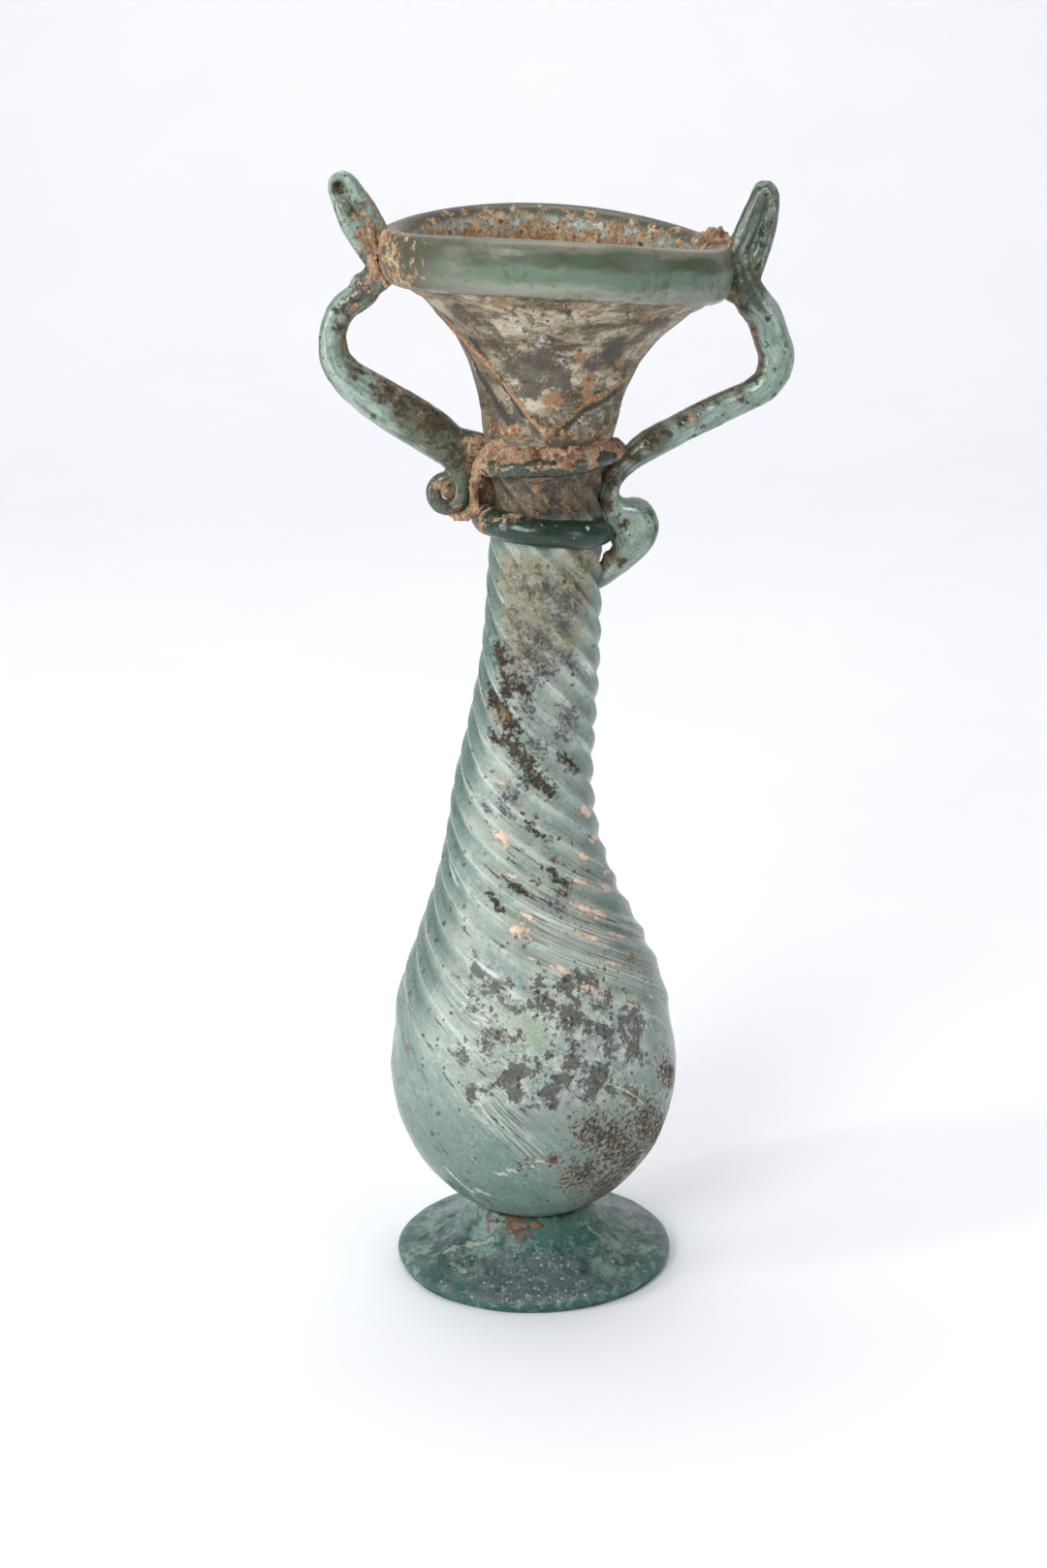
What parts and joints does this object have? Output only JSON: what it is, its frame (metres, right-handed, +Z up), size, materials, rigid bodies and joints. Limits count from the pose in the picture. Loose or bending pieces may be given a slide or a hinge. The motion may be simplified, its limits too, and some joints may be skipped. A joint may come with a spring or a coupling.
{
  "type": "glass amphoriskos",
  "caption": "Small blown-glass oil flask on a pad foot, with a slender spiral-ribbed neck, a collared funnel mouth and looped rod handles.",
  "frame": {"origin": "centre of the flat underside of the pad foot", "axes": "+Z up along the vessel, +X to the right of the picture through the right handle, -Y towards the viewer"},
  "size_m": [0.0694, 0.0514, 0.1701],
  "materials": {
    "weathered_pale_glass": "weathered, semi-opaque pale grey-green glass with iridescent and brown patches",
    "dark_teal_glass": "dark teal glass with iridescent weathering and cream veins",
    "crusted_coil_glass": "dark glass thread mostly under sandy soil",
    "emerald_coil_glass": "smooth dark emerald glass with fine white specks",
    "left_handle_glass": "translucent blue-green glass with brown spots and soil",
    "right_handle_glass": "translucent green glass, striated on the thumb-rest"
  },
  "bodies": {
    "root": {"blown_vessel": "weathered_pale_glass", "pad_foot": "dark_teal_glass", "upper_neck_coil": "crusted_coil_glass", "lower_neck_ring": "emerald_coil_glass", "left_handle": "left_handle_glass", "right_handle": "right_handle_glass"}
  },
  "joints": []
}
